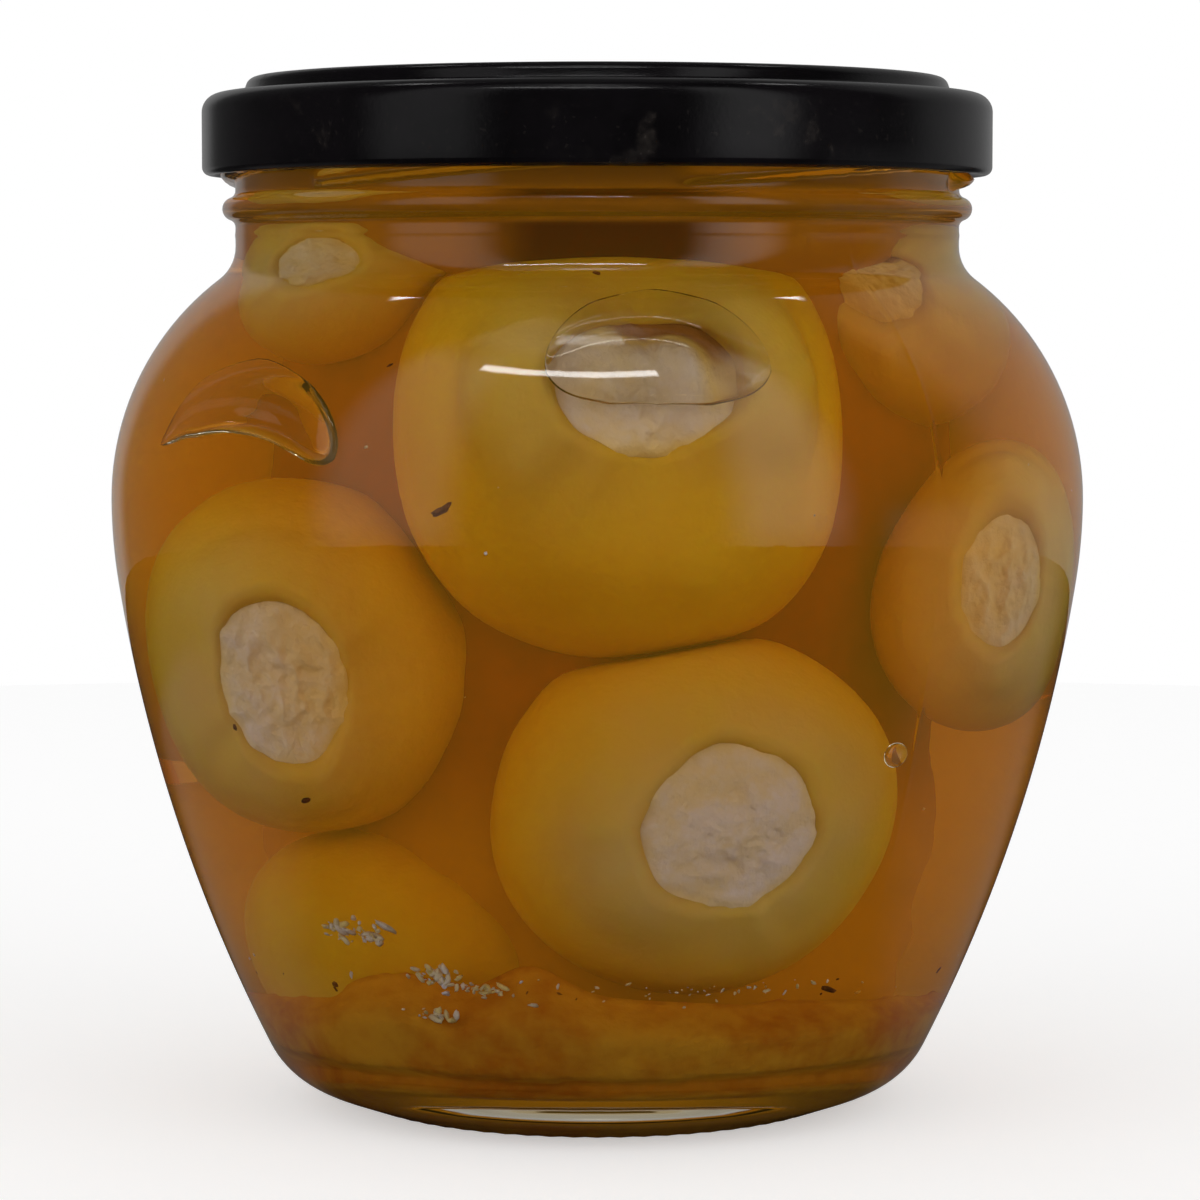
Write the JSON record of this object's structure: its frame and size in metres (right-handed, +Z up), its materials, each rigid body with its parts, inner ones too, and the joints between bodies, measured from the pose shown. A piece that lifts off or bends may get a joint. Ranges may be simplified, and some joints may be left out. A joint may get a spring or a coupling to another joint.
{
  "type": "jar of stuffed cherry peppers",
  "caption": "Squat bellied glass jar with a black twist-off lid, filled with golden oil in which round pale green-yellow peppers stuffed with white cheese lie sunk",
  "frame": {"origin": "on the floor, at the jar's axis", "axes": "+Z up along the jar's axis; -Y is the front, the side with the two large open peppers"},
  "size_m": [0.1054, 0.1054, 0.1111],
  "materials": {
    "clear_glass": "clear, polished, with a stippled standing ring",
    "lid_lacquer": "black satin lacquer on pressed steel, dusty in places",
    "cloudy_oil": "cloudy amber oil, with small air bubbles",
    "pepper_skin": "smooth pickled pepper skin, pale green-yellow to amber",
    "cheese": "crumbly white cheese, tinted by the oil",
    "herb_specks": "dark brown flecks of seed and herb"
  },
  "bodies": {
    "root": {"glass_jar": "clear_glass", "lid": "lid_lacquer", "oil": "cloudy_oil"}
  },
  "joints": []
}
